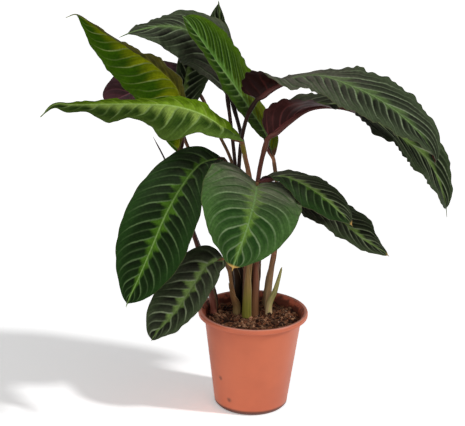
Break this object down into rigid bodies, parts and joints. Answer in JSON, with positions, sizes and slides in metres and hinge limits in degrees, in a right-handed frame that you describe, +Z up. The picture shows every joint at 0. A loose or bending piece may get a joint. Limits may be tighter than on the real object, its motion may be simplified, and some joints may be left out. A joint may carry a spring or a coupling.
{
  "type": "potted calathea",
  "caption": "Leafy calathea house plant with long arching striped leaves on separate stalks, growing from soil in a round tapered plastic nursery pot with a rolled lip.",
  "frame": {"origin": "centre of the pot's flat base, on the surface that it stands on", "axes": "+Z up; +X to the right and +Y away as seen from the plant's front, where the broad front leaf faces -Y"},
  "size_m": [0.619, 0.3958, 0.6122],
  "materials": {
    "pot": "satin",
    "soil": "matte",
    "leaf_dark": "satin",
    "leaf_bright": "satin",
    "stalk_dark": "satin",
    "stalk_brown": "satin",
    "stalk_olive": "satin",
    "stalk_light": "matte"
  },
  "bodies": {
    "root": {"pot": "pot", "soil": "soil", "leaf_lower_left": "leaf_dark", "leaf_bottom_left": "leaf_dark", "leaf_front": "leaf_dark", "leaf_right": "leaf_dark", "leaf_low_right": "leaf_dark", "leaf_arch_right": "leaf_dark", "leaf_arch_right_rear": "leaf_dark", "leaf_centre": "leaf_bright", "leaf_top": "leaf_dark", "leaf_spike": "leaf_dark", "leaf_rear_mid": "leaf_dark", "leaf_upper_left": "leaf_bright", "leaf_mid_left": "leaf_bright", "leaf_rear_left": "leaf_dark", "stalk_lower_left": "stalk_brown", "stalk_bottom_left": "stalk_brown", "stalk_front": "stalk_olive", "stalk_right": "stalk_brown", "stalk_low_right": "stalk_brown", "stalk_arch_right": "stalk_dark", "stalk_arch_right_rear": "stalk_brown", "stalk_centre": "stalk_brown", "stalk_top": "stalk_dark", "stalk_spike": "stalk_dark", "stalk_rear_mid": "stalk_brown", "stalk_upper_left": "stalk_dark", "stalk_mid_left": "stalk_olive", "stalk_rear_left": "stalk_brown", "rolled_leaf": "stalk_dark", "young_shoot": "stalk_light", "old_sheath": "stalk_light"}
  },
  "joints": []
}
